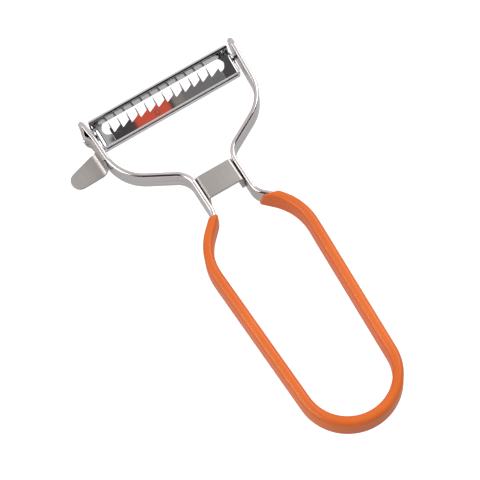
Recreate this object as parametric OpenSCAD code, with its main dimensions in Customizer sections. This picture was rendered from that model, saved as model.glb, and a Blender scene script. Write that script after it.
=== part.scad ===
// Julienne peeler: a looped flat-strip frame with a dipped grip, a swivelling toothed blade, an eye remover.
// It lies on its back: X runs along the blade, Y from the end of the loop to the blade, Z out of the front.
// The origin is on the back of the grip, at the middle of the end of the loop.

/* [Frame strip] */
// Thickness of the steel strip
strip_t = 1.7; // [1.2:0.1:2.2]
// Width of the steel strip, which is the depth of the bare frame
strip_w = 9; // [7:0.5:11]
// Rounding of the strip's long edges
edge_r = 0.4; // [0.2:0.05:0.5]
// Radius of the round end of the loop, to the middle of the strip
loop_r = 16.8; // [14:0.2:18]
// How much wider the loop is at its shoulder corners than at its round end
rail_splay = 5; // [2:0.5:9]
// Height of the shoulder corners above the end of the loop
rail_len = 78.2; // [60:1:95]
// Height of the neck's lower corners above the shoulder corners
shoulder_rise = 11; // [9:0.5:14]
// Distance between the two sides of the neck
neck_w = 16.4; // [14:0.2:19]
// Length of the neck between its corners
neck_len = 17.7; // [16:0.5:22]
// Height of the bow corners above the neck
bow_rise = 11.7; // [9:0.5:14]
// Distance between the bow corners
bow_w = 57.7; // [54:0.5:60]
// Length of each arm from the bow corner to its tip
arm_len = 26.7; // [24:0.5:30]
// Distance between the arm tips
tip_w = 61.2; // [60.5:0.5:64]
// Bend radii at the shoulders, the neck's lower and upper corners, and the bows
shoulder_r = 21; // [14:1:24]
neck_low_r = 6; // [4:0.5:7]
neck_top_r = 7.5; // [5:0.5:8]
bow_r = 16; // [10:1:17]
// How far the left arm stands nearer to the middle than the right one, where it is kinked
arm_tuck = 0.7; // [0:0.05:0.9]
// Outward kink of the left arm, just below its pin, and the bend radius there
arm_kink = 5; // [1:0.5:8]
kink_r = 12; // [8:1:16]

/* [Grip] */
// Thickness of the dipped coating
coat_t = 1; // [0.6:0.1:1.4]
// Rounding of the coating's edges
coat_r = 1.3; // [0.8:0.1:1.5]
// Distance of the coating's upper limit below the neck's lower corners, at the middle of the frame
coat_drop = 1.1; // [0.5:0.2:5]
// Lean of that limit, to the right and to the front, since the frame hangs askew in the dip
dip_lean = 9; // [0:1:12]

/* [Neck bridge] */
// Sheet thickness of the bridge
bridge_t = 1; // [0.6:0.1:1.4]
// Height of the bridge along the neck
bridge_h = 9.1; // [6:0.5:11]
// Outer bend radius of the bridge
bridge_r = 1.4; // [1.4:0.1:2.5]
// Height of the bridge's middle above the neck's lower corners
bridge_up = 10.5; // [8:0.5:12]
// How far the bridge's legs and face lie inside the strip's edges
bridge_inset = 0.4; // [0.2:0.1:1]
// Clearance between the bridge's legs and the neck
bridge_gap = 0.15; // [0.05:0.05:0.3]

/* [Blade cradle] */
// Distance of the swivel axis below the arm tips
pivot_drop = 6.9; // [6:0.1:8]
// Radius of the pins on which the cradle swivels
pin_r = 1.2; // [0.9:0.1:1.5]
// Running clearance round the pins
pin_gap = 0.05; // [0.02:0.01:0.1]
// Clearance between the left end of the cradle and the kinked arm; the right end has more
end_gap = 0.3; // [0.2:0.05:0.6]
// How far the right pin stands out of its arm, and the left one, which ends in a round head
pin_tail = 0.2; // [0.1:0.05:0.5]
pin_head_out = 1.1; // [0.9:0.1:1.5]
// Thickness of the cradle's sheet
cradle_t = 0.6; // [0.4:0.05:0.8]
// Reach of the guard lip below the swivel axis, towards the handle
guard_reach = 6.3; // [5.8:0.1:6.6]
// Depth of the guard lip behind the swivel axis
guard_depth = 3.7; // [3:0.1:4]
// Bend radius at the foot of the guard lip
guard_r = 0.6; // [0.5:0.05:1.2]
// Slope of the cradle's floor, rising to the cutting edge
floor_slope = 17; // [12:1:20]
// Reach of the cutting edge beyond the swivel axis
cut_reach = 2.9; // [2.6:0.1:3.2]
// Reach of the far rim beyond the swivel axis
rim_reach = 4.4; // [4:0.1:4.6]
// Slope of the far wall
wall_slope = 70; // [60:1:72]
// Width of the slot along the floor, from the cutting edge
slot_w = 4.7; // [4.4:0.1:5.2]
// Floor left at each end beyond the slot
slot_end = 3.6; // [2.6:0.1:5]
// Length of the sharpened bevel on the cutting edge
bevel_w = 0.9; // [0.5:0.1:1.2]
// Radius of the round ears that carry the pins
ear_r = 2.2; // [1.8:0.1:2.6]
// Radius of the cradle's rounded corners
corner_r = 1.6; // [1:0.1:3]

/* [Tooth strip] */
// Number of tooth tips along the strip
tip_count = 13; // [9:1:13]
// Spacing of the teeth, which is the width of the cut sticks
pitch = 3.6; // [3:0.05:3.65]
// How far the strip sits right of the middle of the blade
strip_shift = 0.4; // [-0.5:0.1:0.5]
// Width of the blunt end beside the first tooth, and its height above the tooth tips
stub_w = 1.1; // [0.6:0.1:1.4]
stub_rise = 0.5; // [0:0.1:0.8]
// Sheet thickness of the tooth strip
tooth_t = 0.4; // [0.3:0.05:0.5]
// Clearance between the upright fins and the slot's near edge
fin_gap = 0.1; // [0.05:0.05:0.3]
// Height of the saw teeth above the valleys
saw_h = 1.5; // [1:0.05:1.8]
// Reach of the upright fins beyond the tooth tips
fin_reach = 2.5; // [1.4:0.1:2.6]
// Depth of the upright fins below the strip
fin_depth = 1.8; // [1.2:0.1:2]
// Distance of the strip's lower edge from the bend at the foot of the guard lip
strip_seat = 0.06; // [0.04:0.02:0.3]
// Radius and depth of the spot weld dents, and how far below the valleys they lie
weld_r = 0.9; // [0.6:0.1:1.1]
weld_drop = 1.4; // [1.2:0.1:2.2]
weld_depth = 0.08; // [0.04:0.02:0.12]

/* [Eye remover] */
// Sheet thickness of the eye remover
eye_t = 0.8; // [0.6:0.1:1]
// Length of the tongue from the arm's outer face
tongue_len = 13.6; // [10:0.2:16]
// Width of the tongue at its root and radius of its tip
tongue_w = 9; // [8:0.1:10]
tongue_tip_r = 3.4; // [2.4:0.1:3.6]
// Outer bend radius between the tongue and the flange on the arm
tongue_bend_r = 2.7; // [1.8:0.1:3]
// Distance of the tongue's upper corner below the swivel axis
tongue_drop = 4.6; // [4.4:0.1:6]
// Depth of the pad behind the swivel axis
pad_depth = 2.8; // [2:0.1:4]
// Rise of the arch over the pin and its length along the arm
arch_rise = 1; // [0.6:0.1:1.4]
arch_len = 5.4; // [4.5:0.1:6]
// How far the eye remover lies inside the strip's front and back edges
eye_inset = 0.3; // [0.1:0.1:1.2]

/* [Hidden] */
$fn = 48;
seat = 0.02;
// Each bend is fuller than the straights by this much, so that they end inside it and join cleanly
swell = 0.015;
lap = 0.15;
steel = [0.72, 0.70, 0.68];
polished = [0.80, 0.80, 0.81];
dark_steel = [0.42, 0.40, 0.40];
vinyl = [0.93, 0.45, 0.20];

// Levels and heights in the frame
mid_z = strip_w / 2 + coat_t + swell;
neck_y = rail_len + shoulder_rise;
neck_top_y = neck_y + neck_len;
bow_y = neck_top_y + bow_rise;
tip_y = bow_y + arm_len;
span = 2 * tip_w;
pivot_y = tip_y - pivot_drop;
coat_top_y = neck_y - coat_drop;

// The right arm: its lean, and where its outer face lies at the height of the pin
arm_lean = atan((tip_w - bow_w) / 2 / arm_len);
arm_out = bow_w / 2 + (pivot_y - bow_y) * tan(arm_lean) + strip_t / 2 / cos(arm_lean);

// The left arm: its kink, its lean below and above the kink, and its faces at the kink and at the pin
kink_y = pivot_y - arch_len / 2;
kink_x = bow_w / 2 + (kink_y - bow_y) * tan(arm_lean) - arm_tuck;
left_lean = atan((kink_x - bow_w / 2) / (kink_y - bow_y));
tip_lean = left_lean + arm_kink;
left_in = kink_x - strip_t / 2 / cos(left_lean);
left_out = kink_x + (pivot_y - kink_y) * tan(tip_lean) + strip_t / 2 / cos(tip_lean);

// Rails: tangents from the shoulder corners to the round end of the loop, met far below on the centre line
rail_dx = loop_r + rail_splay / 2;
rail_dy = rail_len - loop_r;
rail_turn = atan2(rail_dy, rail_dx) - acos(loop_r / norm([rail_dx, rail_dy]));
apex_y = loop_r + loop_r / sin(rail_turn);

// The strip's route: the middle of each arm's round end, and between them the corners from bow to bow
right_end = [tip_w / 2 - strip_w / 2 * sin(arm_lean), tip_y - strip_w / 2 * cos(arm_lean)];
left_end_y = tip_y - strip_w / 2 * cos(tip_lean);
left_end = [-kink_x - (left_end_y - kink_y) * tan(tip_lean), left_end_y];
corners = [
    [bow_w / 2, bow_y],
    [neck_w / 2, neck_top_y],
    [neck_w / 2, neck_y],
    [rail_dx, rail_len]
];
corner_radii = [bow_r, neck_top_r, neck_low_r, shoulder_r];
last = len(corners) - 1;
left_corners = [for (i = [last : -1 : 0]) [-corners[i][0], corners[i][1]]];
left_radii = [for (i = [last : -1 : 0]) corner_radii[i]];
route = concat([right_end], corners, [[0, apex_y]], left_corners, [[-kink_x, kink_y], left_end]);
radii = concat([0], corner_radii, [loop_r], left_radii, [kink_r, 0]);

// Direction of each leg of the route, and its turn and tangent length at each corner
function leg_dir(i) = (route[i + 1] - route[i]) / norm(route[i + 1] - route[i]);
function leg_angle(i) = atan2(leg_dir(i)[1], leg_dir(i)[0]);
function wrap(a) = a > 180 ? a - 360 : a < -180 ? a + 360 : a;
function turn(i) = wrap(leg_angle(i) - leg_angle(i - 1));
function is_end(i) = i == 0 || i == len(route) - 1;
function tangent(i) = is_end(i) ? 0 : radii[i] * tan(abs(turn(i)) / 2);

// Section of the strip, or of the strip with its coating, with rounded corners
module section(t, w, r) {
    square([t - 2 * r, w], center = true);
    square([t, w - 2 * r], center = true);
    for (x = [-1, 1], y = [-1, 1]) {
        translate([x * (t / 2 - r), y * (w / 2 - r)]) circle(r);
    }
}

// A straight, lengthened so that both its ends lie inside the bends
module straight(i, t, w, r) {
    start = route[i] + leg_dir(i) * (tangent(i) - lap);
    run = norm(route[i + 1] - route[i]) - tangent(i) - tangent(i + 1) + 2 * lap;
    translate([start[0], start[1], mid_z])
        rotate([0, 0, leg_angle(i)])
            rotate([90, 0, 90])
                linear_extrude(run) section(t, w, r);
}

module bend(i, t, w, r) {
    side = sign(turn(i));
    across = [-leg_dir(i - 1)[1], leg_dir(i - 1)[0]];
    centre = route[i] - leg_dir(i - 1) * tangent(i) + across * side * radii[i];
    from = leg_angle(i - 1) - side * 90;
    translate([centre[0], centre[1], mid_z])
        rotate([0, 0, side > 0 ? from : from + turn(i)])
            rotate_extrude(angle = abs(turn(i)))
                translate([radii[i], 0]) section(t + 2 * swell, w + 2 * swell, r + swell);
}

// Lengths of strip between two corners of the route, with the bends at them
module strip_run(first, final, t, w, r) {
    for (i = [first : final]) {
        straight(i, t, w, r);
    }
    for (i = [max(first, 1) : final]) {
        bend(i, t, w, r);
    }
}

// Places a thing on the left arm: X out of its outer face, Y along it to the tip, zero at the kink
module on_left_arm() {
    mirror([1, 0, 0])
        translate([kink_x, kink_y, mid_z])
            rotate([0, 0, -left_lean])
                translate([strip_t / 2, 0, 0]) children();
}

// Full-round end of an arm: half a turn of half the section
module arm_end(at, lean) {
    translate([at[0], at[1], mid_z])
        rotate([0, 0, lean])
            rotate([0, 90, 0])
                rotate_extrude(angle = 180)
                    intersection() {
                        rotate(90) section(strip_t + 2 * swell, strip_w + 2 * swell, edge_r + swell);
                        translate([0, -strip_t]) square([strip_w, 2 * strip_t]);
                    }
}

// The frame: one flat strip on edge, from one arm round the loop to the other arm
module frame_strip() {
    color(steel)
        difference() {
            union() {
                strip_run(0, len(route) - 2, strip_t, strip_w, edge_r);
                arm_end(right_end, -arm_lean);
                arm_end(left_end, tip_lean);
            }
            translate([-span / 2, pivot_y, mid_z])
                rotate([0, 90, 0]) cylinder(r = pin_r + pin_gap, h = span);
        }
}

// The grip: a dipped skin round the loop, up to the level it was dipped to
module grip_coating() {
    shoulder = last;
    final = last + 3;
    color(vinyl)
        difference() {
            intersection() {
                strip_run(shoulder, final, strip_t + 2 * coat_t, strip_w + 2 * coat_t, coat_r);
                translate([0, coat_top_y, mid_z])
                    rotate([dip_lean, 0, -dip_lean])
                        translate([-span / 2, -span, -span / 2]) cube(span);
            }
            strip_run(shoulder, final, strip_t, strip_w, edge_r);
        }
}

// A length of sheet in a profile, from point p to point q and a little into the bends or rims there
module sheet_leg(p, q, t) {
    translate(p)
        rotate(atan2(q[1] - p[1], q[0] - p[0]))
            translate([-lap / 2, -t / 2]) square([norm(q - p) + lap, t]);
}

// A bend of sheet in a profile: a piece of ring from angle a, turning by the sweep
module sheet_bend(centre, r, a, sweep, t) {
    far = 3 * (r + t);
    translate(centre)
        intersection() {
            difference() {
                circle(r + t / 2 + swell);
                circle(r - t / 2 - swell);
            }
            polygon([[0, 0], far * dir(a), far * dir(a + sweep / 2), far * dir(a + sweep)]);
        }
}

function dir(a) = [cos(a), sin(a)];

// The bridge: a channel of sheet across the neck, its face to the front and its legs along the neck
module neck_bridge() {
    half = neck_w / 2 - strip_t / 2 - bridge_gap;
    front = strip_w / 2 - bridge_inset;
    inner_r = bridge_r - bridge_t;
    color(steel)
        translate([0, neck_y + bridge_up + bridge_h / 2, mid_z])
            rotate([90, 0, 0])
                linear_extrude(bridge_h)
                    difference() {
                        union() {
                            translate([-half, -front]) square([2 * half, 2 * front - bridge_r]);
                            translate([bridge_r - half, front - 2 * bridge_r])
                                square([2 * (half - bridge_r), 2 * bridge_r]);
                            for (side = [-1, 1]) {
                                translate([side * (half - bridge_r), front - bridge_r]) circle(bridge_r);
                            }
                        }
                        inside = half - bridge_t;
                        translate([-inside, -strip_w]) square([2 * inside, strip_w + front - bridge_r]);
                        translate([inner_r - inside, -1])
                            square([2 * (inside - inner_r), 1 + front - bridge_t]);
                        for (side = [-1, 1]) {
                            translate([side * (inside - inner_r), front - bridge_r]) circle(inner_r);
                        }
                    }
}

// Cradle profile points, reached from the swivel axis: guard rim, guard foot, cutting edge and far rim
half_t = cradle_t / 2;
rim_a = [-guard_reach + half_t, 0];
foot = [-guard_reach + half_t, -guard_depth + half_t];
cut = [cut_reach, foot[1] + (cut_reach - foot[0]) * tan(floor_slope)];
rim_b = [rim_reach, cut[1] + (rim_reach - cut_reach) * tan(wall_slope)];
foot_back = guard_r * tan((90 + floor_slope) / 2);
cradle_half = left_in - end_gap;

// Places a flat profile, drawn as Y and Z from the swivel axis, along the blade from x0 to x1
module along_blade(x0, x1) {
    translate([x0, pivot_y, mid_z]) rotate([90, 0, 90]) linear_extrude(x1 - x0) children();
}

// Places a thing on the cradle's floor: X along the blade, Y up the slope from the foot, Z out of the floor
module on_floor() {
    translate([0, pivot_y + foot[0], mid_z + foot[1]]) rotate([floor_slope, 0, 0]) children();
}

module cradle_profile() {
    floor_dir = dir(floor_slope);
    sheet_leg(rim_a, foot + [0, foot_back], cradle_t);
    sheet_bend(foot + [guard_r, foot_back], guard_r, 180, 90 + floor_slope, cradle_t);
    sheet_leg(foot + foot_back * floor_dir, cut, cradle_t);
    translate(cut) circle(half_t);
    sheet_leg(cut, rim_b, cradle_t);
    translate(rim_b) circle(half_t);
}

// The slot: round at both ends, its far side left square to take the bevel of the cutting edge
module slot() {
    floor_len = norm(cut - foot);
    half_x = cradle_half - slot_end;
    end_r = slot_w / 2;
    translate([0, floor_len - end_r, -2])
        linear_extrude(4) {
            square([2 * (half_x - end_r), slot_w], center = true);
            for (side = [-1, 1]) {
                translate([side * (half_x - end_r), 0]) circle(end_r);
            }
        }
}

// The bevel that leaves the cutting edge sharp, ground on the back of the far wall
module bevel() {
    tilt = 20;
    half_x = cradle_half - slot_end - slot_w / 2;
    at = cut + half_t * dir(wall_slope - 90);
    translate([0, pivot_y + at[0], mid_z + at[1]])
        rotate([wall_slope - tilt, 0, 0])
            translate([-half_x, -slot_w, -slot_w - cradle_t * 0.6])
                cube([2 * half_x, slot_w + bevel_w, slot_w]);
}

// Rounds the two lower corners of the cradle, seen square to its floor
module corner_cut(side) {
    translate([side * (cradle_half - corner_r), corner_r - guard_r, -2 * guard_depth])
        mirror([side < 0 ? 1 : 0, 0, 0])
            linear_extrude(4 * guard_depth)
                difference() {
                    translate([0, -2 * corner_r]) square(2 * corner_r);
                    circle(corner_r);
                }
}

// An upright ear at one end of the cradle, with the pin that turns in the arm and its round or flat end
module ear(side, pin_end, round_head) {
    sheet_x = cradle_half - cradle_t;
    floor_z = foot[1] - foot[0] * tan(floor_slope);
    mirror([side < 0 ? 1 : 0, 0, 0]) {
        translate([sheet_x, pivot_y, mid_z]) {
            rotate([0, 90, 0]) cylinder(r = ear_r, h = cradle_t);
            translate([0, -ear_r, floor_z]) cube([cradle_t, 2 * ear_r, -floor_z]);
        }
        translate([cradle_half - cradle_t / 2, pivot_y, mid_z]) {
            rotate([0, 90, 0]) cylinder(r = pin_r, h = pin_end - cradle_half);
            translate([pin_end - cradle_half, 0, 0]) {
                if (round_head) {
                    sphere(pin_r);
                } else {
                    rotate([0, 90, 0]) cylinder(r1 = pin_r, r2 = pin_r / 2, h = pin_tail);
                }
            }
        }
    }
}

// The blade cradle: one pressed sheet, with its guard lip, slot, cutting edge, ears and pins
module blade_cradle() {
    color(polished) {
        difference() {
            along_blade(-cradle_half, cradle_half) cradle_profile();
            on_floor() slot();
            bevel();
            for (side = [-1, 1]) {
                on_floor() corner_cut(side);
            }
        }
        ear(1, arm_out, false);
        ear(-1, left_out + pin_head_out, true);
    }
}

// Tooth strip in the plane of the floor: a straight lower edge, and valleys level with the slot's near edge
strip_low = foot_back + strip_seat;
valley_h = norm(cut - foot) - slot_w - strip_low;
function tip_x(i) = (i - (tip_count - 1) / 2) * pitch + strip_shift;
strip_left = tip_x(0) - stub_w;
strip_right = tip_x(tip_count - 1) + 0.5;
tip_h = valley_h + saw_h;
weld_x = [-20.2, -4.6, 10.7, 19];

module saw_outline() {
    flat = 0.3;
    stub_h = tip_h + stub_rise;
    stub = [
        [strip_left, 0],
        [strip_left, stub_h - flat],
        [strip_left + flat, stub_h],
        [tip_x(0) - flat, stub_h],
        [tip_x(0), tip_h],
        [tip_x(0), valley_h]
    ];
    teeth = [
        for (i = [1 : tip_count - 1])
            each [[tip_x(i) - pitch + flat, valley_h], [tip_x(i), tip_h], [tip_x(i), valley_h]]
    ];
    polygon(concat(stub, teeth, [[strip_right, valley_h], [strip_right, 0]]));
}

// A fin: the tongue of sheet folded back from the steep side of a tooth, sharpened to a point
module fin() {
    rotate([90, 0, 90])
        linear_extrude(tooth_t)
            polygon([
                [valley_h + fin_gap, tooth_t],
                [valley_h + fin_gap, 0],
                [valley_h + 0.4, -tooth_t - 0.4],
                [tip_h - 0.3, -fin_depth],
                [tip_h + 0.5, -fin_depth],
                [tip_h + fin_reach, 0],
                [tip_h, tooth_t]
            ]);
}

module tooth_strip() {
    color(dark_steel)
        on_floor()
            translate([0, strip_low, half_t + seat])
                difference() {
                    union() {
                        linear_extrude(tooth_t) saw_outline();
                        for (i = [0 : tip_count - 2]) {
                            translate([tip_x(i) - tooth_t, 0, 0]) fin();
                        }
                    }
                    for (x = weld_x) {
                        translate([x, valley_h - weld_drop, tooth_t - weld_depth])
                            cylinder(r = weld_r, h = 1);
                    }
                }
}

// Eye remover, from the kink of the left arm: its seat on the arm, front edge, clearance round the pin,
// the tongue's two corners at the root, the end of the pad, and the bend between flange and tongue
eye_seat = 0.03;
eye_front = strip_w / 2 - eye_inset;
eye_hole_gap = 0.3;
tongue_top = arch_len / 2 - tongue_drop;
tongue_low = tongue_top - tongue_w;
pad_top = arch_len + 0.8;
flange_low = tongue_bend_r - eye_front - lap;
tongue_bend_at = [eye_seat + tongue_bend_r, tongue_bend_r - eye_front];

// The arch of the pad over the pin with its upper foot, from the kink, lying on the arm above it
module pad_profile() {
    arch_r = (arch_len * arch_len / 4 + arch_rise * arch_rise) / (2 * arch_rise);
    rotate(-arm_kink) {
        intersection() {
            translate([eye_seat + arch_rise - arch_r, arch_len / 2])
                difference() {
                    circle(arch_r + eye_t, $fn = 96);
                    circle(arch_r, $fn = 96);
                }
            translate([eye_seat, -lap]) square([3 * arch_rise + eye_t, arch_len + 2 * lap]);
        }
        translate([eye_seat, arch_len]) square([eye_t, pad_top - arch_len]);
    }
}

// The tongue from above: lower edge straight out, upper edge sloping down to the round tip
module tongue_shape() {
    centre = [tongue_len - tongue_tip_r, tongue_low + tongue_tip_r];
    to_tip = centre - [tongue_bend_r, tongue_top];
    up = atan2(to_tip[1], to_tip[0]) + 180 - acos(tongue_tip_r / norm(to_tip));
    inner_r = tongue_tip_r - swell;
    translate(centre) circle(tongue_tip_r);
    polygon([
        [tongue_bend_r, tongue_low],
        [centre[0], centre[1] - inner_r],
        centre,
        centre + inner_r * dir(up),
        [tongue_bend_r, tongue_top],
        [tongue_bend_r - lap, tongue_top],
        [tongue_bend_r - lap, tongue_low]
    ]);
}

// The eye remover: one bent sheet, arched over the pin, with a flange down the arm and a tongue to the side
module eye_remover() {
    pad_d = eye_front + pad_depth;
    color(steel)
        on_left_arm() {
            difference() {
                union() {
                    translate([0, 0, -pad_depth]) linear_extrude(pad_d) pad_profile();
                    translate([eye_seat, tongue_top - lap, -pad_depth])
                        cube([eye_t, lap - tongue_top, pad_d]);
                }
                translate([-1, arch_len / 2, 0])
                    rotate([0, 90, 0]) cylinder(r = pin_r + eye_hole_gap, h = 6);
            }
            translate([eye_seat, tongue_low, flange_low]) cube([eye_t, tongue_w, eye_front - flange_low]);
            translate([0, tongue_top, 0])
                rotate([90, 0, 0])
                    linear_extrude(tongue_w)
                        sheet_bend(tongue_bend_at, tongue_bend_r - eye_t / 2, 180, 90, eye_t);
            translate([eye_seat, 0, -eye_front]) linear_extrude(eye_t) tongue_shape();
        }
}

frame_strip();
grip_coating();
neck_bridge();
eye_remover();
blade_cradle();
tooth_strip();
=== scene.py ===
import math

import bmesh
import bpy
from mathutils import Matrix, Vector


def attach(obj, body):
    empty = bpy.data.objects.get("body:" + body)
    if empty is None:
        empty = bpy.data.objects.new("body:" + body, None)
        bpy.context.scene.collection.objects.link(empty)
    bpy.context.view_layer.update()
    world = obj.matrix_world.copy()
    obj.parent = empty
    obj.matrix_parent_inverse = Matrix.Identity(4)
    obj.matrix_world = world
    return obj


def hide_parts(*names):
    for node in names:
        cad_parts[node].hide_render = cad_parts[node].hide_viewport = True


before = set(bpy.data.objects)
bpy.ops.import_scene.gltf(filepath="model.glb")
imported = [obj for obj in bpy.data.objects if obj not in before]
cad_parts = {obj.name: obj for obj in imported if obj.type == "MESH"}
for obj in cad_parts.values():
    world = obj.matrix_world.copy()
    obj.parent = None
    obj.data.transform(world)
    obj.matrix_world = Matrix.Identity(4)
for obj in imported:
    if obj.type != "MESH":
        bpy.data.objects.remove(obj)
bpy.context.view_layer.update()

# Sizes in millimetres, as in part.scad, but that EDGE_R is rounder here. SWELL is how far the
# solid's bends stand proud of its straights
MM = 0.001
STRIP_T, STRIP_W, EDGE_R, SWELL = 1.7, 9.0, 0.75, 0.015
LOOP_R, RAIL_SPLAY, RAIL_LEN = 16.8, 5.0, 78.2
NECK_HALF, BOW_HALF, TIP_HALF, ARM_LEN = 8.2, 28.85, 30.6, 26.7
SHOULDER_RISE, NECK_LEN, BOW_RISE, PIN_FROM_TIP = 11.0, 17.7, 11.7, 6.9
BOW_R, NECK_TOP_R, NECK_R, SHOULDER_R, BORE_R = 16.0, 7.5, 6.0, 21.0, 1.25
NECK_Y = RAIL_LEN + SHOULDER_RISE
NECK_TOP_Y = NECK_Y + NECK_LEN
BOW_Y = NECK_TOP_Y + BOW_RISE
TIP_Y = BOW_Y + ARM_LEN
PIVOT_Y = TIP_Y - PIN_FROM_TIP
COAT_T, COAT_DROP, DIP_LEAN = 1.0, 1.1, math.radians(9)
COAT_TOP_Y = NECK_Y - COAT_DROP
MID_Z = STRIP_W / 2 + COAT_T + SWELL

# The right arm's lean and outer face, and the left arm with its kink just below the pin
ARM_LEAN = math.atan((TIP_HALF - BOW_HALF) / ARM_LEN)
ARM_OUT = (BOW_HALF + (PIVOT_Y - BOW_Y) * math.tan(ARM_LEAN)
           + STRIP_T / 2 / math.cos(ARM_LEAN))
ARCH_LEN, ARM_TUCK, ARM_KINK, KINK_R = 5.4, 0.7, math.radians(5), 12.0
KINK_Y = PIVOT_Y - ARCH_LEN / 2
KINK_X = BOW_HALF + (KINK_Y - BOW_Y) * math.tan(ARM_LEAN) - ARM_TUCK
LEFT_LEAN = math.atan((KINK_X - BOW_HALF) / (KINK_Y - BOW_Y))
TIP_LEAN = LEFT_LEAN + ARM_KINK
LEFT_IN = KINK_X - STRIP_T / 2 / math.cos(LEFT_LEAN)
LEFT_OUT = (KINK_X + (PIVOT_Y - KINK_Y) * math.tan(TIP_LEAN)
            + STRIP_T / 2 / math.cos(TIP_LEAN))

# The blade, from its swivel axis. Its far wall is steeper than the solid's and ends in a flange
END_GAP = 0.3
CRADLE_HALF, CRADLE_T, CORNER_R, EAR_R, PIN_R = LEFT_IN - END_GAP, 0.6, 1.6, 2.2, 1.2
LEFT_DISH_R, RIGHT_DISH_R = 2.0, 0.6
FLOOR_SLOPE, WALL_STEEP = math.radians(17), math.radians(80)
WALL_RISE, FLANGE_R, FLANGE_DROP, CUT_R = 3.8, 0.5, 0.06, 0.35
FOOT, CUT_REACH, RIM_REACH = (-6.0, -3.4), 2.9, 4.4
FLOOR_RUN = (CUT_REACH - FOOT[0]) / math.cos(FLOOR_SLOPE)
GUARD_R, GUARD_TURN, BEAD, SLOT_W, SLOT_END = 0.6, 107, 0.25, 4.7, 3.6
FOOT_BACK = GUARD_R * math.tan(math.radians(GUARD_TURN / 2))

# The tooth strip, on the blade's floor
STRIP_GAP, STRIP_SEAT = 0.06, 0.32
STRIP_LOW = FOOT_BACK + STRIP_GAP
PITCH, TIP_COUNT, STRIP_SHIFT, STUB_W, STUB_RISE = 3.6, 13, 0.4, 1.1, 0.5
TOOTH_T, SAW_H, FIN_REACH, FIN_EXTRA_T = 0.4, 1.5, 2.5, 0.05
VALLEY_H = FLOOR_RUN - SLOT_W - STRIP_LOW
WELD_DROP, WELD_XS = 1.4, (-20.2, -4.6, 10.7, 19.0)


# --- Meshes ---

# Edges over these angles, in degrees, shade sharp. FLAT_DEG lies between a bend's steps, which
# shade smooth, and a sheet's eased rims, which don't, so that a flat face stays flat
EDGE_DEG, FLAT_DEG, GRIP_DEG, MARK_DEG, GROWN_DEG = 35, 15, 60, 40, 30
ALONG_X, ALONG_Y = (1, 0, 0), (0, 1, 0)


def new_object(name, data):
    obj = bpy.data.objects.new(name, data)
    bpy.context.scene.collection.objects.link(obj)
    return obj


def finished(name, bm, material, sharp_deg=EDGE_DEG):
    """Turns mm-sized bmesh work into an object at the origin, in metres, smooth between edges."""
    bmesh.ops.transform(bm, matrix=Matrix.Scale(MM, 4), verts=bm.verts)
    mesh = bpy.data.meshes.new(name)
    bm.to_mesh(mesh)
    bm.free()
    for p in mesh.polygons:
        p.use_smooth = True
    mesh.set_sharp_from_angle(angle=math.radians(sharp_deg))
    mesh.materials.append(material)
    return new_object(name, mesh)


def outward(bm):
    bmesh.ops.recalc_face_normals(bm, faces=bm.faces)
    return bm


def evaluated_mesh(obj):
    """The mesh that an object's modifiers or curve make, as plain data."""
    graph = bpy.context.evaluated_depsgraph_get()
    return bpy.data.meshes.new_from_object(obj.evaluated_get(graph), depsgraph=graph)


def apply_modifiers(obj):
    mesh = evaluated_mesh(obj)
    old = obj.data
    obj.modifiers.clear()
    obj.data = mesh
    bpy.data.meshes.remove(old)


def join_into(bm, other):
    """Adds one bmesh's geometry to another."""
    mesh = bpy.data.meshes.new("part_of_piece")
    other.to_mesh(mesh)
    other.free()
    bm.from_mesh(mesh)
    bpy.data.meshes.remove(mesh)


def clamped(f):
    return max(0.0, min(1.0, f))


def circle(x, y, r, n=32):
    turns = [2 * math.pi * i / n for i in range(n)]
    return [(x + r * math.cos(a), y + r * math.sin(a)) for a in turns]


def skin(bm, rings):
    """Faces from each closed ring of vertices to the next."""
    n = len(rings[0])
    for a, b in zip(rings, rings[1:]):
        for k in range(n):
            m = (k + 1) % n
            bm.faces.new((a[k], a[m], b[m], b[k]))


# --- Ways made of straights and bends: each part is (from, run, start, heading, curve) ---

def ahead(angle):
    return Vector((math.cos(angle), math.sin(angle)))


def leftward(angle):
    return Vector((-math.sin(angle), math.cos(angle)))


def walked(start, head, curve, d):
    """The point and heading after d on a part, whose curve is 0 or 1/radius, plus to the left."""
    if not curve:
        return start + d * ahead(head), head
    centre = start + leftward(head) / curve
    now = head + d * curve
    return centre - leftward(now) / curve, now


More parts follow.
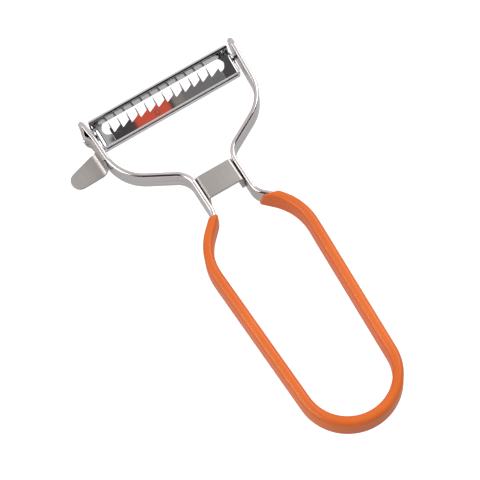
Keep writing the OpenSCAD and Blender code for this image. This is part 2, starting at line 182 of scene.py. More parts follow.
class Route:
    """The strip's way through a row of corners with a bend at each, walked by distance."""

    def __init__(self, corners, radii):
        self.parts, self.length = [], 0.0
        pts = [Vector(c) for c in corners]
        heads = [math.atan2((b - a).y, (b - a).x) for a, b in zip(pts, pts[1:])]
        cut_back = [0.0] * len(pts)
        turns = [0.0] * len(pts)
        for i in range(1, len(pts) - 1):
            turns[i] = (heads[i] - heads[i - 1] + math.pi) % (2 * math.pi) - math.pi
            cut_back[i] = radii[i] * math.tan(abs(turns[i]) / 2)
        for i, head in enumerate(heads):
            run = (pts[i + 1] - pts[i]).length - cut_back[i] - cut_back[i + 1]
            start = pts[i] + cut_back[i] * ahead(head)
            self.add(run, start, head, 0.0)
            if i + 1 < len(heads):
                end = start + run * ahead(head)
                r, turn = radii[i + 1], turns[i + 1]
                self.add(r * abs(turn), end, head, math.copysign(1 / r, turn))

    def add(self, run, start, head, curve):
        self.parts.append((self.length, run, start, head, curve))
        self.length += run

    def place(self, s):
        """The point and heading at a distance, past the ends too."""
        part = self.parts[0] if s < 0 else self.parts[-1]
        for p in self.parts:
            if p[0] <= s <= p[0] + p[1]:
                part = p
                break
        s0, _, start, head, curve = part
        return walked(start, head, curve, s - s0)

    def stations(self, bend_step=math.radians(3), straight_step=6.0):
        out = [0.0]
        for s0, run, _, _, curve in self.parts:
            n = max(1, math.ceil(run * abs(curve) / bend_step if curve else run / straight_step))
            out += [s0 + run * (k + 1) / n for k in range(n)]
        return out


def strip_route():
    rail_x = LOOP_R + RAIL_SPLAY / 2
    rail_dy = RAIL_LEN - LOOP_R
    rail_turn = math.atan2(rail_dy, rail_x) - math.acos(LOOP_R / math.hypot(rail_x, rail_dy))
    apex_y = LOOP_R + LOOP_R / math.sin(rail_turn)
    right_tip = (TIP_HALF - STRIP_W / 2 * math.sin(ARM_LEAN),
                 TIP_Y - STRIP_W / 2 * math.cos(ARM_LEAN))
    left_y = TIP_Y - STRIP_W / 2 * math.cos(TIP_LEAN)
    left_tip = (-KINK_X - (left_y - KINK_Y) * math.tan(TIP_LEAN), left_y)
    side = [(BOW_HALF, BOW_Y), (NECK_HALF, NECK_TOP_Y), (NECK_HALF, NECK_Y), (rail_x, RAIL_LEN)]
    left_side = [(-x, y) for x, y in reversed(side)]
    bends = [BOW_R, NECK_TOP_R, NECK_R, SHOULDER_R]
    corners = [right_tip] + side + [(0.0, apex_y)] + left_side + [(-KINK_X, KINK_Y), left_tip]
    return Route(corners, [0.0] + bends + [LOOP_R] + bends[::-1] + [KINK_R, 0.0])


def section(half_t, half_w, r, per_corner=5, per_side=4):
    """Points round a strip's section, as (across, depth), anticlockwise seen along the route. Each
    wide side has points between its corners; the last of them close onto the first corner."""
    pts = []
    inner = (half_t - r, half_w - r)
    for quarter, (sx, sz) in enumerate(((1, 1), (-1, 1), (-1, -1), (1, -1))):
        for k in range(per_corner + 1):
            a = math.pi / 2 * (quarter + k / per_corner)
            pts.append((sx * inner[0] + r * math.cos(a), sz * inner[1] + r * math.sin(a)))
        if quarter in (1, 3):
            for k in range(1, per_side):
                f = 1 - 2 * k / per_side
                pts.append((sx * half_t, sz * inner[1] * f))
    return pts


def set_on_route(route, s, across, depth):
    p, head = route.place(s)
    return Vector((p.x - across * math.sin(head), p.y + across * math.cos(head), MID_Z + depth))


def loft(rows, uv_rows, closed_rows=False):
    """Skins closed rings of points, with a UV map that runs along and round the piece."""
    bm = bmesh.new()
    uv = bm.loops.layers.uv.new("Along")
    grid = [[bm.verts.new(p) for p in row] for row in rows]
    n = len(rows[0])
    for j in range(len(rows) if closed_rows else len(rows) - 1):
        a, b = grid[j], grid[(j + 1) % len(rows)]
        ua, ub = uv_rows[j], uv_rows[j + 1]
        for i in range(n):
            k = (i + 1) % n
            face = bm.faces.new((a[i], a[k], b[k], b[i]))
            around = [ua[i], ua[i + 1], ub[i + 1], ub[i]]
            for corner, value in zip(face.loops, around):
                corner[uv].uv = value
    return bm


def ring_lengths(ring):
    total, out = 0.0, [0.0]
    for a, b in zip(ring, ring[1:] + ring[:1]):
        total += math.hypot(b[0] - a[0], b[1] - a[1])
        out.append(total)
    return out


# --- Sheet pieces: a flat blank, eased rims, sliced at its bends, then folded ---

def rounded(points, radii, step=math.radians(15)):
    """An outline with its corners rounded."""
    out = []
    n = len(points)
    for i, (p, r) in enumerate(zip(points, radii)):
        if not r:
            out.append(p)
            continue
        here, back, on = Vector(p), Vector(points[i - 1]), Vector(points[(i + 1) % n])
        u, w = (back - here).normalized(), (on - here).normalized()
        angle = u.angle(w)
        reach = r / math.tan(angle / 2)
        centre = here + (u + w).normalized() * (r / math.sin(angle / 2))
        start, end = here + u * reach - centre, here + w * reach - centre
        a0, a1 = math.atan2(start.y, start.x), math.atan2(end.y, end.x)
        turn = (a1 - a0 + math.pi) % (2 * math.pi) - math.pi
        k = max(2, math.ceil(abs(turn) / step))
        turns = [a0 + turn * j / k for j in range(k + 1)]
        out += [(centre.x + r * math.cos(a), centre.y + r * math.sin(a)) for a in turns]
    return out


def blank(outlines, thickness, rim):
    """A flat plate with eased rims, as a bmesh. The first outline is outside, the others holes."""
    curve = bpy.data.curves.new("blank", "CURVE")
    curve.dimensions, curve.fill_mode = "2D", "BOTH"
    curve.extrude, curve.offset = thickness / 2 - rim, -rim
    curve.bevel_depth, curve.bevel_resolution = rim, 1
    for outline in outlines:
        spline = curve.splines.new("POLY")
        spline.points.add(len(outline) - 1)
        for point, (x, y) in zip(spline.points, outline):
            point.co = (x, y, 0, 1)
        spline.use_cyclic_u = True
    obj = new_object("blank", curve)
    mesh = evaluated_mesh(obj)
    bpy.data.objects.remove(obj)
    bm = bmesh.new()
    bm.from_mesh(mesh)
    bpy.data.meshes.remove(mesh)
    bmesh.ops.remove_doubles(bm, verts=bm.verts, dist=1e-4)
    return outward(bm)


def slice_at(bm, places, along):
    for d in places:
        bmesh.ops.bisect_plane(bm, geom=bm.verts[:] + bm.edges[:] + bm.faces[:],
                               plane_co=Vector(along) * d, plane_no=along, dist=1e-5)


class Fold:
    """The line a sheet's middle follows in section: (length, 0) or (radius, turn in degrees)."""

    def __init__(self, start, head_deg, steps):
        self.parts, self.length = [], 0.0
        at, head = Vector(start), math.radians(head_deg)
        for run, turn_deg in steps:
            turn = math.radians(turn_deg)
            length = run * abs(turn) if turn else run
            curve = turn / length if turn else 0.0
            self.parts.append((self.length, length, at, head, curve))
            at, head = walked(at, head, curve, length)
            self.length += length

    def place(self, q, off):
        """The point at q along the sheet's middle and off it, to the left of the way."""
        part = self.parts[0]
        for p in self.parts:
            if q >= p[0]:
                part = p
        q0, _, start, head, curve = part
        at, head = walked(start, head, curve, q - q0)
        return at + off * leftward(head)

    def slices(self, step=math.radians(9)):
        out = []
        for s0, length, _, _, curve in self.parts:
            n = math.ceil(length * abs(curve) / step) if curve else 1
            out += [s0 + length * k / n for k in range(n + 1)]
        return sorted(set(out))


def turned(profile, steps=32):
    """A round piece about X from its profile of (x, radius), end to end; radius 0 closes a pole."""
    bm = bmesh.new()
    rings = []
    for x, r in profile:
        around = circle(0, 0, r, steps) if r else [(0, 0)]
        rings.append([bm.verts.new((x, y, z)) for y, z in around])
    for a, b in zip(rings, rings[1:]):
        for k in range(steps):
            m = (k + 1) % steps
            ring = [a[0]] if len(a) == 1 else [a[k], a[m]]
            ring += [b[0]] if len(b) == 1 else [b[m], b[k]]
            bm.faces.new(ring)
    return outward(bm)


# --- Materials ---

def node_group(name, inputs, outputs):
    tree = bpy.data.node_groups.new(name, "ShaderNodeTree")
    for label, kind, value in inputs:
        sock = tree.interface.new_socket(label, in_out="INPUT", socket_type=kind)
        if value is not None:
            sock.default_value = value
    for label, kind in outputs:
        tree.interface.new_socket(label, in_out="OUTPUT", socket_type=kind)
    return tree, tree.nodes.new("NodeGroupInput"), tree.nodes.new("NodeGroupOutput")


def set_inputs(node, values):
    for key, value in values.items():
        node.inputs[key].default_value = value


def add_node(tree, kind, inputs=None, **settings):
    node = tree.nodes.new(kind)
    for key, value in settings.items():
        setattr(node, key, value)
    set_inputs(node, inputs or {})
    return node


def rolling_grain_group():
    """Fine lines drawn out along one direction, as rolling and brushing leave on steel."""
    tree, start, end = node_group(
        "Rolling grain",
        [("Vector", "NodeSocketVector", None), ("Along", "NodeSocketFloat", 8.0),
         ("Across", "NodeSocketFloat", 400.0), ("Depth", "NodeSocketFloat", 400.0),
         ("Contrast", "NodeSocketFloat", 1.0)],
        [("Lines", "NodeSocketFloat"), ("Height", "NodeSocketFloat")])
    stretch = add_node(tree, "ShaderNodeCombineXYZ")
    scaled = add_node(tree, "ShaderNodeVectorMath", operation="MULTIPLY")
    fine = add_node(tree, "ShaderNodeTexNoise", {"Scale": 1.0, "Detail": 4.0, "Roughness": 0.6},
                    noise_dimensions="3D")
    centred = add_node(tree, "ShaderNodeMath", {1: 0.5}, operation="SUBTRACT")
    spread = add_node(tree, "ShaderNodeMath", {2: 0.5}, operation="MULTIPLY_ADD")
    link = tree.links.new
    for i, way in enumerate(("Along", "Across", "Depth")):
        link(start.outputs[way], stretch.inputs[i])
    link(start.outputs["Vector"], scaled.inputs[0])
    link(stretch.outputs[0], scaled.inputs[1])
    link(scaled.outputs[0], fine.inputs["Vector"])
    link(fine.outputs["Fac"], centred.inputs[0])
    link(centred.outputs[0], spread.inputs[0])
    link(start.outputs["Contrast"], spread.inputs[1])
    link(spread.outputs[0], end.inputs["Lines"])
    link(fine.outputs["Fac"], end.inputs["Height"])
    return tree


def handling_group():
    """Soft cloudy patches, as fingers and washing leave on a finish."""
    tree, start, end = node_group(
        "Handling marks",
        [("Vector", "NodeSocketVector", None), ("Size", "NodeSocketFloat", 60.0),
         ("Low", "NodeSocketFloat", 0.4), ("High", "NodeSocketFloat", 0.65)],
        [("Mask", "NodeSocketFloat")])
    clouds = add_node(tree, "ShaderNodeTexNoise", {"Detail": 3.0, "Roughness": 0.55},
                      noise_dimensions="3D")
    ramp = add_node(tree, "ShaderNodeMapRange", interpolation_type="SMOOTHSTEP")
    link = tree.links.new
    link(start.outputs["Vector"], clouds.inputs["Vector"])
    link(start.outputs["Size"], clouds.inputs["Scale"])
    link(clouds.outputs["Fac"], ramp.inputs["Value"])
    link(start.outputs["Low"], ramp.inputs["From Min"])
    link(start.outputs["High"], ramp.inputs["From Max"])
    link(ramp.outputs["Result"], end.inputs["Mask"])
    return tree


GRAIN = rolling_grain_group()
MARKS = handling_group()


def place_group(tree, group, vector, **values):
    node = add_node(tree, "ShaderNodeGroup", values, node_tree=group)
    tree.links.new(vector, node.inputs["Vector"])
    return node


def between(tree, factor, low, high):
    """A value that runs from low to high with a factor."""
    node = add_node(tree, "ShaderNodeMapRange", {"To Min": low, "To Max": high})
    tree.links.new(factor, node.inputs["Value"])
    return node.outputs["Result"]


def mixed_colour(tree, factor, low, high):
    node = add_node(tree, "ShaderNodeMix", {6: (*low, 1), 7: (*high, 1)}, data_type="RGBA")
    tree.links.new(factor, node.inputs[0])
    return node.outputs[2]


def new_material(name):
    """A material, its tree and shader, and the coordinates of its object."""
    mat = bpy.data.materials.new(name)
    mat.use_nodes = True
    tree = mat.node_tree
    where = add_node(tree, "ShaderNodeTexCoord").outputs["Object"]
    return mat, tree, tree.nodes["Principled BSDF"], where


def emboss(tree, shader, height, strength, distance):
    """Relief from a height, with its distance in metres."""
    relief = add_node(tree, "ShaderNodeBump", {"Strength": strength, "Distance": distance})
    tree.links.new(height, relief.inputs["Height"])
    tree.links.new(relief.outputs["Normal"], shader.inputs["Normal"])


def grain(along, across, depth, contrast):
    return {"Along": along, "Across": across, "Depth": depth, "Contrast": contrast}


def steel(name, low, high, rough, lay, bump, uv_map=None, marks_rough=0.08):
    """Stainless sheet: grain in colour, gloss and relief, and handling marks in the gloss."""
    mat, tree, shader, where = new_material(name)
    set_inputs(shader, {"Metallic": 1.0, "Specular Tint": (0.72, 0.72, 0.72, 1)})
    laid = add_node(tree, "ShaderNodeUVMap", uv_map=uv_map).outputs["UV"] if uv_map else where
    lines = place_group(tree, GRAIN, laid, **lay)
    marks = place_group(tree, MARKS, where, Size=70.0)
    link = tree.links.new
    link(mixed_colour(tree, lines.outputs["Lines"], low, high), shader.inputs["Base Color"])
    gloss = add_node(tree, "ShaderNodeMath", operation="ADD", use_clamp=True)
    link(between(tree, lines.outputs["Lines"], *rough), gloss.inputs[0])
    link(between(tree, marks.outputs["Mask"], 0.0, marks_rough), gloss.inputs[1])
    link(gloss.outputs[0], shader.inputs["Roughness"])
    emboss(tree, shader, lines.outputs["Height"], bump, 0.00003)
    return mat


def vinyl(name):
    """Dipped vinyl: orange with slow drifts of tone, under a thin gloss with a soft skin ripple and
    faint dust."""
    mat, tree, shader, where = new_material(name)
    set_inputs(shader, {"Metallic": 0.0, "Specular IOR Level": 0.0, "Coat Weight": 0.36,
                        "Coat Roughness": 0.22})
    tone = place_group(tree, MARKS, where, Size=28.0, Low=0.3, High=0.7)
    dust = place_group(tree, MARKS, where, Size=900.0, Low=0.5, High=0.75)
    colour = mixed_colour(tree, tone.outputs["Mask"], (0.73, 0.147, 0.025), (0.81, 0.176, 0.035))
    link = tree.links.new
    link(colour, shader.inputs["Base Color"])
    link(between(tree, dust.outputs["Mask"], 0.20, 0.28), shader.inputs["Roughness"])
    ripple = add_node(tree, "ShaderNodeTexNoise", {"Scale": 45.0, "Detail": 0.5})
    link(where, ripple.inputs["Vector"])
    emboss(tree, shader, ripple.outputs["Fac"], 0.12, 0.0004)
    return mat


# Each steel's darker and lighter colour, its roughness from and to, its grain and its relief
STRIP_STEEL = steel("strip_steel", (0.40, 0.375, 0.372), (0.67, 0.628, 0.622), (0.09, 0.17),
                    grain(30.0, 2200.0, 900.0, 1.9), 0.3, uv_map="Along")
SHEET_STEEL = steel("sheet_steel", (0.35, 0.33, 0.320), (0.44, 0.416, 0.405), (0.27, 0.38),
                    grain(3500.0, 250.0, 3500.0, 1.4), 0.35)
POLISHED_STEEL = steel("polished_steel", (0.56, 0.555, 0.565), (0.66, 0.655, 0.67), (0.05, 0.11),
                       grain(300.0, 1500.0, 1500.0, 1.0), 0.12, marks_rough=0.05)
TOOTH_STEEL = steel("tooth_steel", (0.46, 0.45, 0.45), (0.56, 0.55, 0.55), (0.05, 0.09),
                    grain(200.0, 1200.0, 1200.0, 1.0), 0.06, marks_rough=0.03)
ORANGE_VINYL = vinyl("orange_vinyl")


# --- Frame strip ---

ROUTE = strip_route()


def tip_section(ring, s):
    """The strip's section at a distance past the centre of an arm's round end."""
    half_w, half_t, r = STRIP_W / 2, STRIP_T / 2, EDGE_R
    out = []
    for across, depth in ring:
        in_from_edge = min(r, half_w - abs(depth))
        reach = half_w - in_from_edge
        side = 1 if depth >= 0 else -1
        if s <= reach:
            height = math.sqrt(reach * reach - s * s)
            flat = abs(depth) / (half_w - r) if abs(depth) < half_w - r else 1.0
            out.append((across, side * height * flat))
        else:
            left = max(half_w - s, 0.0)
            thick = half_t - r + math.sqrt(max(r * r - (r - left) ** 2, 0.0))
            out.append((max(-thick, min(thick, across)), 0.0))
    return out


def build_frame_strip():
    ring = section(STRIP_T / 2, STRIP_W / 2, EDGE_R)
    around = ring_lengths(ring)
    tip_rows, drill_half, drill_sides = 14, 60, 40
    steps = [math.radians(90 * k / tip_rows) for k in range(tip_rows, 0, -1)]
    reaches = [STRIP_W / 2 * math.sin(a) for a in steps]
    walk = [(-reach, reach) for reach in reaches]
    walk += [(s, 0.0) for s in ROUTE.stations()]
    walk += [(ROUTE.length + reach, reach) for reach in reversed(reaches)]
    rows, uvs = [], []
    for s, past in walk:
        here = tip_section(ring, past) if past else ring
        rows.append([set_on_route(ROUTE, s, a, d) for a, d in here])
        uvs.append([(s * MM, v * MM) for v in around])
    bm = loft(rows, uvs)
    bmesh.ops.remove_doubles(bm, verts=bm.verts, dist=0.004)
    bmesh.ops.holes_fill(bm, edges=[e for e in bm.edges if e.is_boundary])
    strip = finished("strip_frame", outward(bm), STRIP_STEEL)
    drill = turned([(-drill_half, 0), (-drill_half, BORE_R), (drill_half, BORE_R), (drill_half, 0)],
                   drill_sides)
    bmesh.ops.translate(drill, verts=drill.verts, vec=(0, PIVOT_Y, MID_Z))
    drill = finished("drill", drill, STRIP_STEEL)
    cut = strip.modifiers.new("Pin bores", "BOOLEAN")
    cut.operation, cut.solver, cut.object = "DIFFERENCE", "EXACT", drill
    apply_modifiers(strip)
    bpy.data.objects.remove(drill)
    strip.data.set_sharp_from_angle(angle=math.radians(EDGE_DEG))
    return strip


# --- Grip ---

# The coat's end is rounded over LIP_RUN, and it grows to its full thickness over THIN_RUN. Within
# BAND of the dip level its rows lean with it. Its inside lies TUCKED into the steel
LIP_RUN, THIN_RUN, BAND, TUCKED = 0.9, 24.0, 7.0, -0.05


def past_dip(p):
    """How far a point lies beyond the leaning level that the frame was dipped to."""
    c, s = math.cos(DIP_LEAN), math.sin(DIP_LEAN)
    return Vector((s * c, c ** 2, s)).dot(p - Vector((0, COAT_TOP_Y, MID_Z)))


def dip_limits(samples=2000):
    """The distances along the route at which its middle crosses the dip level, right and left."""
    hits, last = [], None
    for k in range(samples + 1):
        s = ROUTE.length * k / samples
        side = past_dip(set_on_route(ROUTE, s, 0, 0)) < 0
        if last is not None and side != last:
            hits.append(s)
        last = side
    return hits[0], hits[-1]


def coat_ring(c):
    half_t, half_w = STRIP_T / 2 + c, STRIP_W / 2 + c
    return section(half_t, half_w, min(EDGE_R + 0.9 * max(c, 0), half_t - 0.02), 7, 5)


def coat_thickness(u):
    """The coat's thickness at a distance from its end."""
    c = COAT_T * (0.74 + 0.26 * min(1.0, u / THIN_RUN))
    return c * math.sqrt(max(0.0, 1 - (1 - u / LIP_RUN) ** 2)) if u < LIP_RUN else c


def dip_end(start, way, across, depth):
    """Where a line of the coat meets the dip level, walking the route up the neck from start."""
    low, high = 0.0, 16.0
    for _ in range(30):
        mid = (low + high) / 2
        if past_dip(set_on_route(ROUTE, start + way * mid, across, depth)) < 0:
            low = mid
        else:
            high = mid
    return start + way * low


def build_grip():
    right, left = dip_limits()
    inner_right, inner_left = right + BAND, left - BAND
    around = ring_lengths(coat_ring(COAT_T))
    rows, uvs = [], []

    def add_row(places, thick):
        row = []
        for i, (s, c) in enumerate(zip(places, thick)):
            a, d = coat_ring(c)[i]
            row.append(set_on_route(ROUTE, s, a, d))
        rows.append(row)
        uvs.append([(places[i % len(places)] * MM, v * MM) for i, v in enumerate(around)])

    thin = coat_ring(COAT_T * 0.6)
    ends_right = [dip_end(inner_right, -1, a, d) for a, d in thin]
    ends_left = [dip_end(inner_left, 1, a, d) for a, d in thin]
    n, end_rows, crowding = len(thin), 22, 1.8
    fractions = [(k / end_rows) ** crowding for k in range(end_rows + 1)]
    for f in fractions:
        places = [e + (inner_right - e) * f for e in ends_right]
        add_row(places, [coat_thickness(s - e) for s, e in zip(places, ends_right)])
    for s in ROUTE.stations(math.radians(2.5), 5.0):
        if inner_right + 0.5 < s < inner_left - 0.5:
            add_row([s] * n, [coat_thickness(min(s - right, left - s))] * n)
    for f in reversed(fractions):
        places = [e + (inner_left - e) * f for e in ends_left]
        add_row(places, [coat_thickness(e - s) for s, e in zip(places, ends_left)])
    # The skin's inside, tucked into the steel, back to the first end
    add_row([e - 0.1 for e in ends_left], [TUCKED] * n)
    for s in reversed(ROUTE.stations(math.radians(5), 8.0)):
        if inner_right < s < inner_left:
            add_row([s] * n, [TUCKED] * n)
    add_row([e + 0.1 for e in ends_right], [TUCKED] * n)
    uvs.append(uvs[0])
    return finished("dipped_grip", loft(rows, uvs, closed_rows=True), ORANGE_VINYL, GRIP_DEG)


# --- Neck bridge ---

def build_bridge():
    sheet, rim, outer_r, gap, half_h, corner_r, middle_rise = 1.0, 0.08, 1.4, 0.15, 4.55, 0.5, 10.5
    half, front = NECK_HALF - STRIP_T / 2 - gap, STRIP_W / 2 - 0.4
    mid_r = outer_r - sheet / 2
    leg, face = 2 * front - outer_r, 2 * (half - outer_r)
    fold = Fold((-half + sheet / 2, -front), 90,
                [(leg, 0), (mid_r, -90), (face, 0), (mid_r, -90), (leg, 0)])
    corners = [(0, -half_h), (fold.length, -half_h), (fold.length, half_h), (0, half_h)]
    bm = blank([rounded(corners, [corner_r] * 4)], sheet, rim)
    slice_at(bm, fold.slices(), ALONG_X)
    for v in bm.verts:
        q = v.co.copy()
        at = fold.place(q.x, q.z)
        v.co = (at.x, NECK_Y + middle_rise + q.y, MID_Z + at.y)
    return finished("neck_bridge_sheet", outward(bm), SHEET_STEEL, FLAT_DEG)


# --- Eye remover ---

def on_left_arm(bm):
    """From the arm's own frame (X out of its outer face, Y up it, zero at the kink) to its place on
    the left arm."""
    place = (Matrix.Translation((KINK_X, KINK_Y, MID_Z)) @ Matrix.Rotation(-LEFT_LEAN, 4, "Z")
             @ Matrix.Translation((STRIP_T / 2, 0, 0)))
    bmesh.ops.transform(bm, matrix=Matrix.Scale(-1, 4, ALONG_X) @ place, verts=bm.verts)


def build_eye_remover():
    """One sheet: a pad arched over the pin, a flange down the arm's face, and a tongue bent out
    along the back."""
    sheet, rim, seat, front, bend_r, hole_r = 0.8, 0.1, 0.03, STRIP_W / 2 - 0.3, 2.7, 1.5
    top, width, length, tip_r = ARCH_LEN / 2 - 4.6, 9.0, 13.6, 3.4
    low, pad_top, pad_back, notch = top - width, ARCH_LEN + 0.8, front + 2.8, top + 0.6
    mid_r, bend_at = bend_r - sheet / 2, 2 * front - bend_r
    bend_len = mid_r * math.pi / 2
    root = bend_at + bend_len
    tip_at = Vector((length - tip_r, low + tip_r))
    edge = tip_at - Vector((bend_r, top))
    up = math.atan2(edge.y, edge.x) + math.pi - math.acos(tip_r / edge.length)
    turns = [up + (-math.pi / 2 - up) * k / 16 for k in range(17)]
    tip = [(tip_at.y + tip_r * math.sin(a), root + tip_at.x - bend_r + tip_r * math.cos(a))
           for a in turns]
    body = rounded([(low, 0), (pad_top, 0), (pad_top, pad_back), (notch, pad_back),
                    (notch, bend_at - 0.2), (top, bend_at - 0.2)], [0.6, 0.8, 1.0, 0.5, 0.25, 0.25])
    outline = body + [(top, root)] + tip + [(low, root)]
    bm = blank([outline, circle(ARCH_LEN / 2, front, hole_r)], sheet, rim)
    slice_at(bm, [-0.6 + k * 0.34 for k in range(20)], ALONG_X)
    slice_at(bm, [bend_at + bend_len * k / 10 for k in range(11)], ALONG_Y)
    span, half_rise = ARCH_LEN / 2 + 0.25, 0.5
    for v in bm.verts:
        p, q, h = v.co
        if q <= bend_at or p > notch - 0.1:
            near = min(1.0, abs(p - ARCH_LEN / 2) / span)
            lift = half_rise * (1 + math.cos(math.pi * near))
            side = 1 if p > ARCH_LEN / 2 else -1
            slope = -half_rise * math.sin(math.pi * near) * math.pi / span * side
            unit = math.hypot(1, slope)
            x, y = seat + sheet / 2 + lift + h / unit, p - h * slope / unit
            lean = ARM_KINK * clamped(p + 0.5)
            v.co = (x * math.cos(lean) + y * math.sin(lean),
                    y * math.cos(lean) - x * math.sin(lean), front - q)
        elif q < root:
            a = (q - bend_at) / mid_r
            r = mid_r - h
            v.co = (seat + bend_r - r * math.cos(a), p, bend_r - front - r * math.sin(a))
        else:
            v.co = (seat + bend_r + q - root, p, sheet / 2 - front + h)
    on_left_arm(bm)
    return finished("eye_remover_sheet", outward(bm), SHEET_STEEL, FLAT_DEG)


# --- Blade cradle ---

def floor_point(x, up, out):
    """A point by the cradle's floor: x along the blade, up the slope from its foot, out of it."""
    c, s = math.cos(FLOOR_SLOPE), math.sin(FLOOR_SLOPE)
    return Vector((x, PIVOT_Y + FOOT[0] + up * c - out * s, MID_Z + FOOT[1] + up * s + out * c))


def floor_level(y):
    return FOOT[1] + (y - FOOT[0]) * math.tan(FLOOR_SLOPE)


def end_wall(side):
    """The upright end: the lip carried round the corner, then rising to the pin's round ear."""
    half_t, ease, soft, arris = CRADLE_T / 2, 0.1, 0.2, 0.06
    mid_r = CORNER_R - half_t
    cx, cy = CRADLE_HALF - CORNER_R, FOOT[0] - half_t + CORNER_R
    # Each station: its middle, the way that its thickness lies, and its height
    plan = []
    for k in range(10):
        a = math.radians(10 * k)
        c, s = math.cos(a), math.sin(a)
        plan.append((cx + mid_r * s, cy - mid_r * c, s, -c, 0.0))
    for k in range(16):
        b = math.radians(12 * k)
        plan.append((CRADLE_HALF - half_t, -EAR_R * math.cos(b), 1.0, 0.0, EAR_R * math.sin(b)))
    bm = bmesh.new()
    rows = []
    for x, y, nx, ny, high in plan:
        low = max(floor_level(y) - half_t, FOOT[1])
        ring = [(-half_t + ease, low), (half_t - ease, low), (half_t, low + ease),
                (half_t, high - soft), (half_t - arris, high - arris), (half_t - soft, high),
                (-half_t + soft, high), (-half_t + arris, high - arris), (-half_t, high - soft),
                (-half_t, low + ease)]
        rows.append([bm.verts.new((side * (x + nx * off), PIVOT_Y + y + ny * off, MID_Z + z))
                     for off, z in ring])
    skin(bm, rows)
    bm.faces.new(rows[0])
    bm.faces.new(rows[-1])
    return bm


def pin_stub(side):
    """A pin from its ear through the arm: a round head on the left, flush on the right."""
    start = CRADLE_HALF - CRADLE_T - 0.25
    profile = [(start, 0), (start, PIN_R - 0.25), (start + 0.2, PIN_R)]
    if side < 0:
        end = LEFT_OUT + 1.1
        turns = [math.radians(a) for a in range(0, 90, 10)]
        profile += [(end + PIN_R * math.sin(a), PIN_R * math.cos(a)) for a in turns]
        profile += [(end + PIN_R, 0)]
    else:
        profile += [(ARM_OUT, PIN_R), (ARM_OUT + 0.12, PIN_R * 0.85),
                    (ARM_OUT + 0.2, PIN_R * 0.5), (ARM_OUT + 0.2, 0)]
    pin = turned(profile)
    for v in pin.verts:
        v.co = (side * v.co.x, PIVOT_Y + v.co.y, MID_Z + v.co.z)
    return pin


def build_cradle():
    # The section: down the lip, round the guard, up the floor, round the cut, up the wall, flange
    cut_at = Vector((CUT_REACH, floor_level(CUT_REACH)))
    knee_at = cut_at + WALL_RISE * Vector((1 / math.tan(WALL_STEEP), 1))
    rim_at = Vector((RIM_REACH, knee_at.y - FLANGE_DROP))
    wall, flange = (knee_at - cut_at).length, (rim_at - knee_at).length
    rim_slope = math.atan2((rim_at - knee_at).y, (rim_at - knee_at).x)
    cut_turn = math.degrees(WALL_STEEP - FLOOR_SLOPE)
    knee_turn = math.degrees(WALL_STEEP - rim_slope)
    cut_back = CUT_R * math.tan(math.radians(cut_turn / 2))
    knee_back = FLANGE_R * math.tan(math.radians(knee_turn / 2))
    lip_run = -FOOT[1] - FOOT_BACK
    fold = Fold((FOOT[0], 0), -90,
                [(lip_run, 0), (GUARD_R, GUARD_TURN), (FLOOR_RUN - FOOT_BACK - cut_back, 0),
                 (CUT_R, cut_turn), (wall - cut_back - knee_back, 0), (FLANGE_R, -knee_turn),
                 (flange - knee_back, 0)])

    # The blank, with its slot
    rim, lap, in_from_corner = 0.1, 0.1, 0.15
    floor_q = lip_run + GUARD_R * math.radians(GUARD_TURN) - FOOT_BACK
    near_q, cut_q = floor_q + FLOOR_RUN - SLOT_W, floor_q + FLOOR_RUN + lap
    half, top = CRADLE_HALF - 0.03, fold.length + lap
    bow, bow_x = CORNER_R - in_from_corner, half - CORNER_R + in_from_corner
    corner = [(bow_x + bow * math.sin(a), lip_run + 0.3 + 1.37 * (1 - math.cos(a)))
              for a in (math.radians(10 * k) for k in range(10))]
    lower = [(bow_x, 0.0)] + corner
    upper = rounded([(half, cut_q), (half, top), (-half, top), (-half, cut_q)], [0, 0.8, 0.8, 0])
    outline = lower + upper + [(-x, q) for x, q in reversed(lower)]
    slot_half, end_r = CRADLE_HALF - SLOT_END, SLOT_W / 2 - 0.01
    slot = rounded([(-slot_half, near_q), (slot_half, near_q), (slot_half, cut_q),
                    (-slot_half, cut_q)], [end_r] * 4, math.radians(10))
    bm = blank([outline, slot], CRADLE_T, rim)

    # Cuts for the bends, the lip's bead and the floor's dished ends
    bead_at, bead_run, dish_low, dish_high, dish_ease = 0.7, 0.22, 1.0, 1.0, 0.8
    bead_cuts = [0.15] + [bead_at + bead_run / 4 * k for k in range(5)]
    dish_cuts = [floor_q + 1.4, floor_q + 1.8, cut_q - 1.8, cut_q - dish_high]
    slice_at(bm, fold.slices() + bead_cuts + dish_cuts, ALONG_Y)
    for side, dish_r in ((-1, LEFT_DISH_R), (1, RIGHT_DISH_R)):
        inner = [CRADLE_HALF - CRADLE_T - dish_r * (1 - k / 8) for k in range(9)]
        slice_at(bm, [side * x for x in inner], ALONG_X)

    for v in bm.verts:
        x, q, h = v.co
        if abs(q - cut_q) < 0.16 and abs(x) < slot_half - end_r and h < 0.05:
            q += 0.75 * (0.3 - h) / 0.6
        if h < 0 and q < floor_q + 1.0:
            h -= BEAD * (1 - math.cos(math.pi * clamped((q - bead_at) / bead_run))) / 2
        at = fold.place(q, h)
        dish_r = LEFT_DISH_R if x < 0 else RIGHT_DISH_R
        inward = max(0.0, abs(x) - (CRADLE_HALF - CRADLE_T - dish_r))
        lift = dish_r - math.sqrt(max(0.0, dish_r ** 2 - inward ** 2))
        lift *= (clamped((q - floor_q - dish_low) / dish_ease)
                 * clamped((cut_q - dish_high - q) / dish_ease))
        v.co = (x, PIVOT_Y + at.x, MID_Z + at.y + lift)
    for side in (-1, 1):
        join_into(bm, end_wall(side))
        join_into(bm, pin_stub(side))
    return finished("blade_sheet", outward(bm), POLISHED_STEEL, FLAT_DEG)


# --- Tooth strip ---

def tip_x(i):
    return (i - (TIP_COUNT - 1) / 2) * PITCH + STRIP_SHIFT


